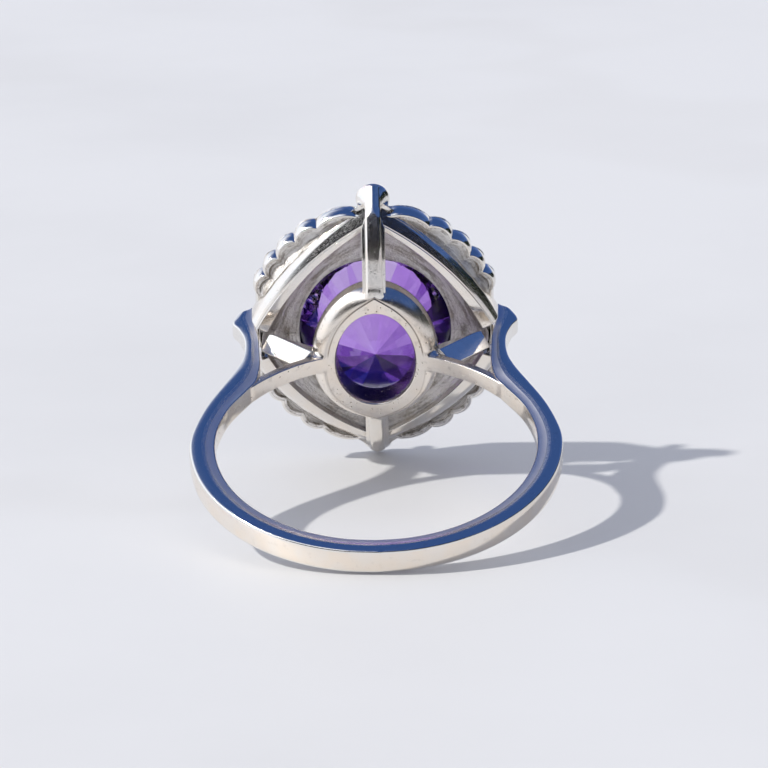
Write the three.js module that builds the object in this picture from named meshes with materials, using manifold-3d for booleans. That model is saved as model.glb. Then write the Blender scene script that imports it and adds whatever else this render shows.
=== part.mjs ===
// Cocktail ring: an oval amethyst in a scalloped diamond halo on a split, pierced gallery.
// Millimetres. Each piece is drawn in the jeweller's frame: X across the finger, Y along the
// finger and Z out through the centre stone, from the middle of the finger hole. The finished
// ring is then tipped over to lie on a table as a ring does, on its back and one tip of its head.
import * as THREE from 'three';
import { mergeVertices } from 'three/addons/utils/BufferGeometryUtils.js';
import Module from 'manifold-3d';

const wasm = await Module();
wasm.setup();

// ---- driving dimensions ----
const GAP = 0.03; // solder line between neighbouring pieces
const FINGER = 8.5; // radius of the finger hole
const HOLE_TOP = 8.22; // the hole is a little flatter towards the head
const BAND_HALF = 0.78; // half the width of the shank's outer face
const BAND_INNER_HALF = 0.55; // half its width at the finger
const BACK_THICK = 1.22;
const SIDE_THICK = 1.36;
const JOINT_Z = 4.2; // where the shank meets the shoulders
const SPLIT_ANGLE = 41; // degrees up the hole where the inner arch leaves the shoulder
const SPLIT_LEAN = 2.5; // the joint there leans this many degrees further round

const ARCH_HALF = 0.48;
const ARCH_THICK = 0.44;
const BASE_HOLE = { x: 2.14, y: 2.93 }; // half axes of the gallery base's opening
const BASE_WALL = { x: 1.3, y: 1.37 }; // thickness of its wall across and along the finger
const BASE_DEEP = 1.55;
const BASE_EASED = 0.27; // how far its inner edge is eased back from the finger

const APEX = { y: 8.05, z: 10.7 }; // where a rib meets the two rails
const TIP = { y: 8.97, z: 11.97 }; // furthest point of the head, which touches the table
const RIB_HALF = 0.45;
const RIB_THICK = 0.8;

const RAIL_Z = 9.8; // finger-side face of the lozenge of rails
const RAIL_WIDTH = 0.95;
const RAIL_SAG = 0.82; // how far a rail bows out from its chord
const RAIL_END = { x: 6.7, y: 1.3 };
const RAIL_BEVEL = 0.2;
const RAIL_CLIMB = 0.16; // how steeply a rail climbs from the shoulder to the rib

const BRACE_HALF = 0.78;
const BRACE_LEAN = { x: 0.455, y: 0.68, z: -0.575 };
const BRACE_REACH = -2.49;

const HALO_BACK = 11.15;
const HALO_FLOOR = 11.42; // bottom of the recess behind the diamonds
const HALO_FRONT = 12.15;
const HALO_BEVEL = 0.15;
const HALO_HALF = { x: 6.88, y: 7.58 }; // half axes of the oval through the scallops' valleys
const HALO_WALL = 0.36;
const SCALLOPS = [7.5, 24.5, 36, 47.6, 58.1, 69]; // valleys, degrees from the tip, each quarter
const SCALLOP_RISE = 0.33;

const STONE = { x: 4.45, y: 5.05 }; // half axes of the amethyst's girdle
const GIRDLE_Z = 12.5;
const CULET_Z = 8.75;
const TABLE_Z = 13.9;
const COLLET_BACK = 11.1;
const CLAW_RADIUS = 0.42;

const CUP_Y = 7.9;
const CUP_RADIUS = 0.93;
const CUP_BACK = 11.15;
const CUP_FRONT = 12.3;

const WHITE_GOLD = { color: 0xd9d6d0, roughness: 0.12, metalness: 1 };
const CAST_GOLD = { color: 0x9c9286, roughness: 0.45, metalness: 1 };
const AMETHYST = { color: 0x9a62cc, roughness: 0.03, metalness: 0 };
const DIAMOND = { color: 0xf3f6fa, roughness: 0.02, metalness: 0 };

// ---- small tools ----
const v2 = (x, y) => new THREE.Vector2(x, y);
const rad = THREE.MathUtils.degToRad;
const head = new THREE.Group();

function toSolid(geometry) {
  const bare = geometry.clone();
  bare.deleteAttribute('normal');
  bare.deleteAttribute('uv');
  const merged = mergeVertices(bare, 1e-5);
  const vertProperties = new Float32Array(merged.attributes.position.array);
  const triVerts = new Uint32Array(merged.index.array);
  return new wasm.Manifold(new wasm.Mesh({ numProp: 3, vertProperties, triVerts }));
}

function toGeometry(solid) {
  const { vertProperties, triVerts } = solid.getMesh();
  const geometry = new THREE.BufferGeometry();
  geometry.setAttribute('position', new THREE.BufferAttribute(new Float32Array(vertProperties), 3));
  geometry.setIndex(new THREE.BufferAttribute(new Uint32Array(triVerts), 1));
  geometry.computeVertexNormals();
  return geometry;
}

function addPiece(name, solid, finish) {
  const mesh = new THREE.Mesh(toGeometry(solid), new THREE.MeshStandardMaterial(finish));
  mesh.name = name;
  head.add(mesh);
  return solid;
}

// Keeps the side of a plane that normal points away from.
const shave = (solid, normal, offset) => solid.trimByPlane(normal.map((n) => -n), -offset);
const cutAll = (solid, cutters) => cutters.reduce((left, cutter) => left.subtract(cutter), solid);

// An outline in X and Z, carried along the finger from -half to +half.
function alongFinger(points, half) {
  const geometry = new THREE.ExtrudeGeometry(new THREE.Shape(points), {
    depth: 2 * half, bevelEnabled: false, steps: 1,
  });
  return toSolid(geometry.rotateX(Math.PI / 2).translate(0, half, 0));
}

// An outline in Y and Z, carried across the finger from -half to +half.
function acrossFinger(points, half) {
  const geometry = new THREE.ExtrudeGeometry(new THREE.Shape(points), {
    depth: 2 * half, bevelEnabled: false, steps: 1,
  });
  const turn = new THREE.Matrix4().makeBasis(
    new THREE.Vector3(0, 1, 0), new THREE.Vector3(0, 0, 1), new THREE.Vector3(1, 0, 0));
  return toSolid(geometry.applyMatrix4(turn).translate(-half, 0, 0));
}

// An outline in X and Y, carried from one height to another.
function upright(points, from, to, bevel = 0) {
  const geometry = new THREE.ExtrudeGeometry(new THREE.Shape(points), {
    depth: to - from - 2 * bevel, steps: 1, bevelEnabled: bevel > 0,
    bevelSize: bevel, bevelOffset: -bevel, bevelThickness: bevel, bevelSegments: 1,
  });
  return toSolid(geometry.translate(0, 0, from + bevel));
}

function ellipse(halfX, halfY, fromDegrees, toDegrees, steps) {
  return Array.from({ length: steps + 1 }, (_, i) => {
    const angle = rad(fromDegrees + ((toDegrees - fromDegrees) * i) / steps);
    return v2(halfX * Math.cos(angle), halfY * Math.sin(angle));
  });
}

// A profile of [distance from the axis, height] turned about Z, then stretched to an oval.
function turned(profile, segments, scaleX = 1, scaleY = 1) {
  const points = profile.map(([r, z]) => v2(r, z));
  if (points[0].x > 0) points.push(points[0].clone());
  const geometry = new THREE.LatheGeometry(points, segments).rotateX(Math.PI / 2);
  return toSolid(geometry.scale(scaleX, scaleY, 1));
}

const ovalPlug = (halfX, halfY, from, to) =>
  upright(ellipse(halfX, halfY, 0, 360, 48).slice(0, -1), from, to);

const mirrorX = (solid) => solid.mirror([1, 0, 0]);
const mirrorY = (solid) => solid.mirror([0, 1, 0]);

// ---- shank and shoulders: one bent outline, cut at the joints ----
const shoulderOuter = new THREE.SplineCurve([
  v2(FINGER + SIDE_THICK, 0), v2(9.6, 1.55), v2(9.03, 3.35), v2(8.25, 5.1), v2(7.5, 6.75),
  v2(7.17, 8.0), v2(7.13, 9.0), v2(7.38, 10.15), v2(7.86, 11.05),
]);
const shoulderInner = [
  v2(6.28, 6.25), v2(6.24, 7.0), v2(6.3, 8.25), v2(6.37, 9.5), v2(6.63, 10.6), v2(6.74, 12.35),
];
const shoulderTop = v2(7.5, 11.8);
// The arch's outer face, from the split to the gallery base.
const archTop = (from, steps) =>
  ellipse(FINGER + ARCH_THICK, HOLE_TOP + ARCH_THICK, from + SPLIT_LEAN, 75, steps);

function bandOutline() {
  const right = [
    ...ellipse(FINGER, FINGER, -90, 0, 15),
    ...ellipse(FINGER, HOLE_TOP, 6, SPLIT_ANGLE, 6),
    archTop(SPLIT_ANGLE, 1)[0],
    ...shoulderInner,
    shoulderTop,
    ...shoulderOuter.getPoints(24).reverse(),
    ...ellipse(FINGER + SIDE_THICK, FINGER + BACK_THICK, -6, -90, 14),
  ];
  const left = right.slice(1, -1).reverse().map((p) => v2(-p.x, p.y));
  // Down the right half's outside, round the back and up the left half's, then the inside.
  return [...right, ...left];
}

// The band's two side faces lean in towards the finger.
const sideFaces = turned([
  [7.0, -0.2], [FINGER, -BAND_INNER_HALF], [9.15, -0.73], [9.6, -BAND_HALF], [15, -BAND_HALF],
  [15, BAND_HALF], [9.6, BAND_HALF], [9.15, 0.73], [FINGER, BAND_INNER_HALF], [7.0, 0.2],
], 60).rotate([90, 0, 0]);
const band = alongFinger(bandOutline(), 1).intersect(sideFaces);

addPiece('shank', shave(band, [0, 0, 1], JOINT_Z), WHITE_GOLD);
const shoulders = shave(band, [0, 0, -1], -JOINT_Z - GAP);
addPiece('shoulder_left', shave(shoulders, [1, 0, 0], 0), WHITE_GOLD);
addPiece('shoulder_right', shave(shoulders, [-1, 0, 0], 0), WHITE_GOLD);

// ---- gallery base: an oval ring that rests on the finger ----
const fingerTop = (x) => HOLE_TOP * Math.sqrt(1 - (x / FINGER) ** 2);

function galleryBase() {
  const profile = [
    [0, BASE_EASED], [0.15, 0], [0.92, 0.03], [1, 0.13], [1, BASE_DEEP], [0, BASE_DEEP],
  ].map(([w, h]) => v2(1 + w, h));
  profile.push(profile[0].clone());
  const geometry = new THREE.LatheGeometry(profile, 44).rotateX(Math.PI / 2);
  const position = geometry.attributes.position;
  for (let i = 0; i < position.count; i += 1) {
    const angle = Math.atan2(position.getY(i), position.getX(i));
    const out = Math.hypot(position.getX(i), position.getY(i)) - 1;
    const x = (BASE_HOLE.x + out * BASE_WALL.x) * Math.cos(angle);
    const y = (BASE_HOLE.y + out * BASE_WALL.y) * Math.sin(angle);
    position.setXYZ(i, x, y, fingerTop(x) + position.getZ(i));
  }
  return toSolid(geometry);
}
addPiece('gallery_base', galleryBase(), WHITE_GOLD);
const basePlug = ovalPlug(
  BASE_HOLE.x + BASE_WALL.x + GAP, BASE_HOLE.y + BASE_WALL.y + GAP, 5, HALO_BACK);

// ---- inner arches: thin strips that follow the finger up to the gallery base ----
const archStart = SPLIT_ANGLE + 0.3;
const archOutline = [
  ...ellipse(FINGER, HOLE_TOP, archStart, 75, 9), ...archTop(archStart, 9).reverse(),
];
const archRight = alongFinger(archOutline, ARCH_HALF).subtract(basePlug);
addPiece('arch_right', archRight, WHITE_GOLD);
addPiece('arch_left', mirrorX(archRight), WHITE_GOLD);

// ---- braces: struts from the shoulders down to the arches, with a ridge towards the finger ----
const braceOutline = [
  v2(6.24, 9.36), v2(5.78, 9.78), v2(3.0, 8.3), v2(3.0, 7.0), v2(4.6, 7.2), v2(6.2, 8.62),
];
const aboveArch = FINGER + ARCH_THICK + GAP;
const archRoom = alongFinger(
  ellipse(aboveArch, aboveArch - FINGER + HOLE_TOP, 0, 180, 50), 2 * BRACE_HALF);
const braceBlank = cutAll(alongFinger(braceOutline, BRACE_HALF), [basePlug, archRoom]);
const braceNorth = shave(braceBlank, [BRACE_LEAN.x, BRACE_LEAN.y, BRACE_LEAN.z], BRACE_REACH);
const braceRight = shave(braceNorth, [BRACE_LEAN.x, -BRACE_LEAN.y, BRACE_LEAN.z], BRACE_REACH);
addPiece('brace_right', braceRight, WHITE_GOLD);
addPiece('brace_left', mirrorX(braceRight), WHITE_GOLD);

// ---- tip cups, and the ribs that run from the gallery base up their backs ----
function tipCup(margin) {
  const rim = CUP_RADIUS + margin;
  return turned([
    [0, CUP_BACK - margin], [0.3 + margin, CUP_BACK - margin], [rim, 12.0], [rim, CUP_FRONT],
    [0, CUP_FRONT],
  ], 24).translate([0, CUP_Y, 0]);
}

function ribOutline(margin) {
  return [
    v2(3.6, 8.36 - margin), v2(APEX.y + margin, APEX.z - margin), v2(TIP.y + margin, TIP.z),
    v2(8.7, 12.1 + margin), v2(7.3, 11.35 + margin), v2(3.6, 8.36 + RIB_THICK + margin),
  ];
}
const ribNorth = cutAll(acrossFinger(ribOutline(0), RIB_HALF), [basePlug, tipCup(GAP)]);
addPiece('rib_north', ribNorth, WHITE_GOLD);
addPiece('rib_south', mirrorY(ribNorth), WHITE_GOLD);

// ---- faceted stones ----
// A round stone of unit girdle radius: a disc shaved by planes that touch its girdle.
// crown and pavilion hold [count, first angle, slope in degrees, reach]; reach 1 is the girdle.
function facetedStone({ sides, crownHeight, pavilionDepth, crown, pavilion, girdle }) {
  const disc = new THREE.CylinderGeometry(1, 1, crownHeight + pavilionDepth, sides);
  disc.rotateX(Math.PI / 2).translate(0, 0, (crownHeight - pavilionDepth) / 2);
  let stone = toSolid(disc);
  const facets = (rows, side) => rows.forEach(([count, first, slope, reach]) => {
    for (let i = 0; i < count; i += 1) {
      const around = rad(first + (360 * i) / count);
      const lean = rad(slope);
      const normal = [
        Math.sin(lean) * Math.cos(around), Math.sin(lean) * Math.sin(around), side * Math.cos(lean),
      ];
      stone = shave(stone, normal, Math.sin(lean) * reach + (Math.cos(lean) * girdle) / 2);
    }
  });
  facets(crown, 1);
  facets(pavilion, -1);
  return stone;
}

const middle = (STONE.x + STONE.y) / 2;
const amethystUnit = facetedStone({
  sides: 32,
  crownHeight: (TABLE_Z - GIRDLE_Z) / middle,
  pavilionDepth: (GIRDLE_Z - CULET_Z) / middle,
  girdle: 0.04,
  crown: [[8, 0, 35, 0.98], [16, 11.25, 41, 0.985], [8, 22.5, 21, 1.3]],
  pavilion: [[8, 0, 38, 0.985], [16, 11.25, 43, 0.985], [8, 22.5, 39, 1.0]],
});
const amethyst = amethystUnit.scale([STONE.x, STONE.y, middle]).translate([0, 0, GIRDLE_Z]);
addPiece('amethyst', amethyst, AMETHYST);

const brilliant = facetedStone({
  sides: 16,
  crownHeight: 0.34,
  pavilionDepth: 0.84,
  girdle: 0.06,
  crown: [[8, 0, 34, 0.97]],
  pavilion: [[8, 0, 40, 0.97]],
});

// ---- halo: scalloped wall round a plate that is set with diamonds from the front ----
const onOval = (half, degrees) => {
  const [s, c] = [Math.sin(rad(degrees)), Math.cos(rad(degrees))];
  const reach = 1 / Math.hypot(s / half.x, c / half.y);
  return v2(reach * s, reach * c);
};

function scallopOutline(inset) {
  const half = { x: HALO_HALF.x - inset, y: HALO_HALF.y - inset };
  const quarter = [v2(0, half.y)];
  for (let k = 0; k + 1 < SCALLOPS.length; k += 1) {
    const [from, to] = [onOval(half, SCALLOPS[k]), onOval(half, SCALLOPS[k + 1])];
    const out = v2(to.y - from.y, from.x - to.x).normalize().negate();
    for (let i = 0; i < 6; i += 1) {
      const along = i / 6;
      const rise = SCALLOP_RISE * 4 * along * (1 - along);
      quarter.push(from.clone().lerp(to, along).addScaledVector(out, rise));
    }
  }
  quarter.push(onOval(half, SCALLOPS.at(-1)));
  const half1 = [...quarter, ...quarter.slice().reverse().map((p) => v2(p.x, -p.y))];
  const half2 = half1.slice(1, -1).reverse().map((p) => v2(-p.x, p.y));
  return [...half1, ...half2];
}

// The rails' plan: a band inside an arc that bows out from the tip to the shoulder.
const railChord = Math.hypot(RAIL_END.x, APEX.y - RAIL_END.y);
const railRadius = railChord ** 2 / (8 * RAIL_SAG) + RAIL_SAG / 2;

function railOutline(margin) {
  const middlePoint = v2(RAIL_END.x / 2, (APEX.y + RAIL_END.y) / 2);
  const out = v2(APEX.y - RAIL_END.y, RAIL_END.x).normalize();
  const centre = middlePoint.addScaledVector(out, RAIL_SAG - railRadius);
  const towards = THREE.MathUtils.radToDeg(Math.atan2(out.y, out.x));
  const spread = THREE.MathUtils.radToDeg(Math.asin(railChord / 2 / railRadius)) + 4;
  const arc = (radius, from, to) =>
    ellipse(radius, radius, towards + from, towards + to, 12).map((p) => p.add(centre));
  return [
    ...arc(railRadius + margin, -spread, spread),
    ...arc(railRadius - RAIL_WIDTH - margin, spread, -spread),
  ];
}
const climb = [
  1, 0, -RAIL_CLIMB, 0, 0, 1, 0, 0, 0, 0, 1, 0, 0, 0, RAIL_CLIMB * RAIL_END.x, 1,
];
const railBar = upright(railOutline(0), RAIL_Z, HALO_FRONT, RAIL_BEVEL).transform(climb);
const railLow = shave(railBar, [0, 0, 1], HALO_FLOOR - GAP);
const railClear = shave(railLow, [-1, 0, 0], -RIB_HALF - GAP);
const railNorthRight = shave(railClear, [0.6, -0.8, 0], 0.6 * RAIL_END.x - 0.8 * RAIL_END.y);
addPiece('rail_north_right', railNorthRight, WHITE_GOLD);
addPiece('rail_north_left', mirrorX(railNorthRight), WHITE_GOLD);
addPiece('rail_south_right', mirrorY(railNorthRight), WHITE_GOLD);
addPiece('rail_south_left', mirrorX(mirrorY(railNorthRight)), WHITE_GOLD);

// ---- diamonds: five graduated stones in each quarter, one by each shoulder, one in each tip ----
function diamond(radius, x, y, girdleZ) {
  return brilliant.scale([radius, radius, radius]).translate([x, y, girdleZ]);
}
function seat(radius, x, y, girdleZ) {
  const wide = radius + 2 * GAP;
  return turned([
    [0, girdleZ - wide * 0.95], [wide, girdleZ - 0.1], [wide, girdleZ + 1], [0, girdleZ + 1],
  ], 16).translate([x, y, 0]);
}

const haloStones = [];
for (let k = 0; k + 1 < SCALLOPS.length; k += 1) {
  const radius = k === 0 ? 0.86 : 0.7 - 0.02 * k;
  const reach = k === 0 ? 0.9 : 0.72;
  const half = { x: HALO_HALF.x - reach, y: HALO_HALF.y - reach };
  haloStones.push({ radius, at: onOval(half, (SCALLOPS[k] + SCALLOPS[k + 1]) / 2) });
}
const quarters = [
  ['north_right', 1, 1], ['north_left', -1, 1], ['south_right', 1, -1], ['south_left', -1, -1],
];
const seats = [];
for (const [name, signX, signY] of quarters) {
  haloStones.forEach(({ radius, at }, k) => {
    const place = [radius, signX * at.x, signY * at.y, HALO_FRONT + 0.05];
    addPiece(`diamond_${name}_${k + 1}`, diamond(...place), DIAMOND);
    seats.push(seat(...place));
  });
}
for (const [name, sign] of [['left', -1], ['right', 1]]) {
  const place = [0.58, sign * 5.74, 0, HALO_FRONT + 0.05];
  addPiece(`diamond_side_${name}`, diamond(...place), DIAMOND);
  seats.push(seat(...place));
}

// ---- collet: the oval bearing that holds the amethyst ----
const collet = turned([
  [0.93, COLLET_BACK], [1.06, COLLET_BACK], [1.06, 12.42], [1.02, 12.42], [0.93, 12.02],
], 48, STONE.x, STONE.y);
addPiece('centre_collet', collet, WHITE_GOLD);
const colletPlug = ovalPlug(1.06 * STONE.x + GAP, 1.06 * STONE.y + GAP, 9, 14);

const shoulderRoom = toSolid(new THREE.BoxGeometry(2, 2 * (BAND_HALF + GAP), 4)
  .translate(7.54, 0, 12));
const haloBody = upright(scallopOutline(0), HALO_BACK, HALO_FRONT, HALO_BEVEL)
  .subtract(upright(scallopOutline(HALO_WALL), HALO_BACK - 1, HALO_FLOOR));
const railRoom = upright(railOutline(GAP), RAIL_Z - 1, HALO_FLOOR);
const ribRoom = acrossFinger(ribOutline(GAP), RIB_HALF + GAP);
const cupRoom = tipCup(GAP);
addPiece('halo', cutAll(haloBody, [
  colletPlug, shoulderRoom, mirrorX(shoulderRoom), ribRoom, mirrorY(ribRoom), cupRoom,
  mirrorY(cupRoom), railRoom, mirrorX(railRoom), mirrorY(railRoom), mirrorX(mirrorY(railRoom)),
  ...seats,
]), CAST_GOLD);

// ---- tip cups, each with its own diamond ----
const cupStone = [0.66, 0, CUP_Y, CUP_FRONT + 0.03];
const cupNorth = tipCup(0).subtract(seat(...cupStone));
addPiece('tip_cup_north', cupNorth, WHITE_GOLD);
addPiece('tip_cup_south', mirrorY(cupNorth), WHITE_GOLD);
const tipDiamond = diamond(...cupStone);
addPiece('diamond_tip_north', tipDiamond, DIAMOND);
addPiece('diamond_tip_south', mirrorY(tipDiamond), DIAMOND);

// ---- claws: four round-headed posts over the amethyst's girdle ----
const clawAt = onOval({ x: STONE.x + 0.2, y: STONE.y + 0.2 }, 43);
const stoneRoom = amethyst.translate([0, 0, -GIRDLE_Z]).scale([1.008, 1.008, 1.02])
  .translate([0, 0, GIRDLE_Z]);
const clawBlank = turned([
  [0, 12.7], [CLAW_RADIUS, 12.7], [CLAW_RADIUS, 13.1], [CLAW_RADIUS * 0.8, 13.32],
  [CLAW_RADIUS * 0.4, 13.44], [0, 13.46],
], 16);
for (const [name, signX, signY] of quarters) {
  const claw = clawBlank.translate([signX * clawAt.x, signY * clawAt.y, 0]);
  addPiece(`claw_${name}`, claw.subtract(stoneRoom), WHITE_GOLD);
}

// ---- rest: tipped until the back of the shank and the south tip lie on the table ----
const reachBack = FINGER + BACK_THICK;
const restTilt = Math.atan((TIP.y - BAND_HALF) / (TIP.z + reachBack));
head.rotation.x = Math.PI / 2 - restTilt;

const ring = new THREE.Group();
ring.name = 'cocktail_ring';
ring.add(head);
ring.updateMatrixWorld(true);
const extent = new THREE.Box3().setFromObject(ring, true);
const middleOf = extent.getCenter(new THREE.Vector3());
head.position.set(-middleOf.x, -middleOf.y, -extent.min.z);
export default ring;
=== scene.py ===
"""Cocktail ring: fine metalwork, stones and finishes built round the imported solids.

Shapes are worked out in the jeweller's frame, in millimetres: x across the finger, y along the
finger and z out through the centre stone, from the middle of the finger hole. place() carries
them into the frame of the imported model, in metres.
"""
import math

import bmesh
import bpy
import numpy as np
from bpy.props import FloatProperty, FloatVectorProperty, PointerProperty
from mathutils import Matrix, Vector


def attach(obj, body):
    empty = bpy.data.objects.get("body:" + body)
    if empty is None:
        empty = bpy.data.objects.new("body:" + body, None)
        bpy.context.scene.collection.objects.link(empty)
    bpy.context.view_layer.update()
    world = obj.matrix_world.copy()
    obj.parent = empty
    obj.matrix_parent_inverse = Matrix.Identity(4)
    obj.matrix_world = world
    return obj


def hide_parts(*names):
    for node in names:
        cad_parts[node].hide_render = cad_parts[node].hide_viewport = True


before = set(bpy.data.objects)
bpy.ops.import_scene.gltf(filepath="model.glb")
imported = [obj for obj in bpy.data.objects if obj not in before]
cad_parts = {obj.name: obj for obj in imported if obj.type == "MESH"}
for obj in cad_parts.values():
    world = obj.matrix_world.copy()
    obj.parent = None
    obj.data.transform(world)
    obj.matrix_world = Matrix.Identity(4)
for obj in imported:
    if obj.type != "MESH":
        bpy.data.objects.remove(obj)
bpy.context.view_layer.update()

bl_info = {
    "name": "Cocktail Ring",
    "version": (1, 0, 0),
    "blender": (4, 5, 0),
    "location": "3D View > Sidebar > Ring",
    "description": "Builds the metalwork, stones and stage of an amethyst cocktail ring",
    "category": "Object",
}

# ---- where the ring lies: how far it is tipped, and the middle of its finger hole ----
LAY = 1.2097539657478444
LAY_C, LAY_S = math.cos(LAY), math.sin(LAY)
FINGER_Y, FINGER_Z = 2.6428997, 4.1632988

# ---- sizes shared with the solids, in millimetres ----
FINGER, HOLE_TOP = 8.5, 8.22
SIDE_THICK, BACK_THICK = 1.36, 1.22
BASE_HOLE = np.array([2.14, 2.93])
BASE_WALL = np.array([1.3, 1.37])
APEX_Y = 8.05
RAIL_Z, RAIL_CLIMB, RAIL_SAG, RAIL_END = 9.8, 0.16, 0.82, (6.7, 1.3)
HALO_BACK, HALO_FLOOR, HALO_FRONT = 11.15, 11.42, 12.15
HALO_HALF = np.array([6.88, 7.58])
SCALLOPS = np.array([7.5, 24.5, 36, 47.6, 58.1, 69])
STONE = np.array([4.45, 5.05])
GIRDLE_Z = 12.5
CUP_Y = 7.9
QUARTERS = [("north_right", 1, 1), ("north_left", -1, 1), ("south_right", 1, -1), ("south_left", -1, -1)]

# ---- the camera's turns about the hole's middle in radians, its shift in millimetres, the light ----
CAMERA_TILT, CAMERA_YAW, CAMERA_ROLL = 0.6195, 0.0054, 0.0206
CAMERA_SHIFT = (-0.4051, -3.4648)
SENSOR = 36.0
KEY_TOWARD = (0.725, 0.19, 0.66)
KEY_SPREAD = math.radians(2.2)
KEY_COLOUR = (1.0, 0.975, 0.93)
EVEN_LIGHT = (0.49, 0.51, 0.585)
FLOOR_REACH = 1.6


def length(name, description, metres):
    return FloatProperty(name=name, description=description, default=metres, unit="LENGTH")


def colour(name, description, tint):
    return FloatVectorProperty(name=name, description=description, subtype="COLOR", size=3, default=tint)


class RingSizes(bpy.types.PropertyGroup):
    """Fine sizes of the metalwork."""

    edge: length("Edge radius", "Softness of the band's outer edges", 0.00026)
    band_half: length("Band half width", "Half the width of the shank's outer face", 0.00078)
    band_inner_half: length("Band inner half width", "Half the width of the shank's face on the finger", 0.00055)
    arch_half: length("Arch half width", "Half the width of an inner arch", 0.00048)
    arch_thick: length("Arch thickness", "Thickness of an inner arch", 0.00044)
    base_deep: length("Gallery base depth", "Depth of the oval ring on the finger", 0.00155)
    base_fall: length("Gallery base fall", "Fall of the oval ring's rounded rim", 0.00088)
    rib_half: length("Rib half width", "Half the width of a rib", 0.00045)
    rail_width: length("Rail width", "Whole width of a rail", 0.00095)
    scallop_rise: length("Scallop rise", "How far each scallop bows out", 0.00033)
    claw_radius: length("Claw radius", "Radius of a claw", 0.00042)
    grain_radius: length("Grain radius", "Radius of a bead that holds the diamonds", 0.00015)


class RingColours(bpy.types.PropertyGroup):
    """Colours of the finishes."""

    gold: colour("White gold", "Polished white gold", (0.86, 0.84, 0.81))
    worn: colour("Worn gold", "White gold where a finger rubs it", (0.90, 0.81, 0.71))
    cast: colour("Cast gold", "White gold left as cast", (0.42, 0.38, 0.34))
    amethyst: colour("Amethyst", "Tint of the centre stone", (0.54, 0.28, 0.88))
    diamond: colour("Diamond", "Tint of the small stones", (0.97, 0.98, 1.0))
    floor: colour("Floor", "Pale tabletop", (0.80, 0.80, 0.80))


class RingStage(bpy.types.PropertyGroup):
    """Camera and light."""

    distance: length("Camera distance", "From the middle of the finger hole", 0.22)
    lens: FloatProperty(
        name="Lens", description="Focal length on a 36 mm sensor", default=195.32, unit="CAMERA")
    key: FloatProperty(name="Key light", description="Strength of the key light", default=2.7, min=0)
    sky: FloatProperty(name="Sky", description="Strength of the surroundings", default=1.0, min=0)


def own_values(group):
    """The names of a property group's own values."""
    return [name for name in group.bl_rna.properties.keys() if name not in ("rna_type", "name")]


def sizes():
    """The fine sizes in millimetres, by name."""
    group = bpy.context.scene.ring_sizes
    return {name: getattr(group, name) * 1000 for name in own_values(group)}


# ---- shapes ----
def place(points):
    """Turns the jeweller's frame about x by LAY, moves the finger hole's middle and scales to metres."""
    x, y, z = np.moveaxis(np.asarray(points, float), -1, 0)
    return np.stack([x, LAY_C * y - LAY_S * z + FINGER_Y, LAY_S * y + LAY_C * z + FINGER_Z], -1) / 1000


def through(knots, t):
    """A curve through the knots: on each span, the cubic whose slope at a knot is half the step
    between that knot's neighbours. t runs from 0 to 1."""
    knots = np.asarray(knots, float)
    last = len(knots) - 1
    span = np.clip(t, 0, 1) * last
    i = np.minimum(span.astype(int), last - 1)
    f = (span - i)[:, None]
    a, b, c, d = (knots[np.clip(i + k, 0, last)] for k in (-1, 0, 1, 2))
    slope_b, slope_c = (c - a) / 2, (d - b) / 2
    cubed = 2 * b - 2 * c + slope_b + slope_c
    squared = 3 * c - 3 * b - 2 * slope_b - slope_c
    return cubed * f**3 + squared * f**2 + slope_b * f + b


def rounded(corners, radius, steps=6):
    """Closed loops of corners, shape (..., k, 3), with each corner swapped for the parabola from
    one edge to the next that starts and ends radius away from it."""
    before, after = np.roll(corners, 1, -2) - corners, np.roll(corners, -1, -2) - corners
    long_before = np.linalg.norm(before, axis=-1, keepdims=True)
    long_after = np.linalg.norm(after, axis=-1, keepdims=True)
    radius = np.broadcast_to(np.asarray(radius, float), corners.shape[:-1])[..., None]
    cut = np.minimum(radius, 0.48 * np.minimum(long_before, long_after))
    start = (corners + before / np.maximum(long_before, 1e-9) * cut)[..., None, :]
    end = (corners + after / np.maximum(long_after, 1e-9) * cut)[..., None, :]
    s = np.linspace(0, 1, steps)[:, None]
    arc = (1 - s) ** 2 * start + 2 * s * (1 - s) * corners[..., None, :] + s**2 * end
    return arc.reshape(*corners.shape[:-2], -1, 3)


def domed(loops, radius, steps=5):
    """Adds loops past both ends of a tube: each shrinks towards the middle of the end loop by
    radius times 1 - cos, and stands out from it by radius times sin."""
    turn = np.linspace(0, math.pi / 2, steps + 1)[1:, None, None]

    def end(loop, neighbour):
        middle = loop.mean(0)
        out = middle - neighbour.mean(0)
        out = out / np.linalg.norm(out)
        arm = loop - middle
        reach = np.linalg.norm(arm, axis=-1, keepdims=True)
        shrunk = arm * (1 - radius * (1 - np.cos(turn)) / np.maximum(reach, 2 * radius))
        return middle + shrunk + out * radius * np.sin(turn)

    return np.concatenate([end(loops[0], loops[1])[::-1], loops, end(loops[-1], loops[-2])])


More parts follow.
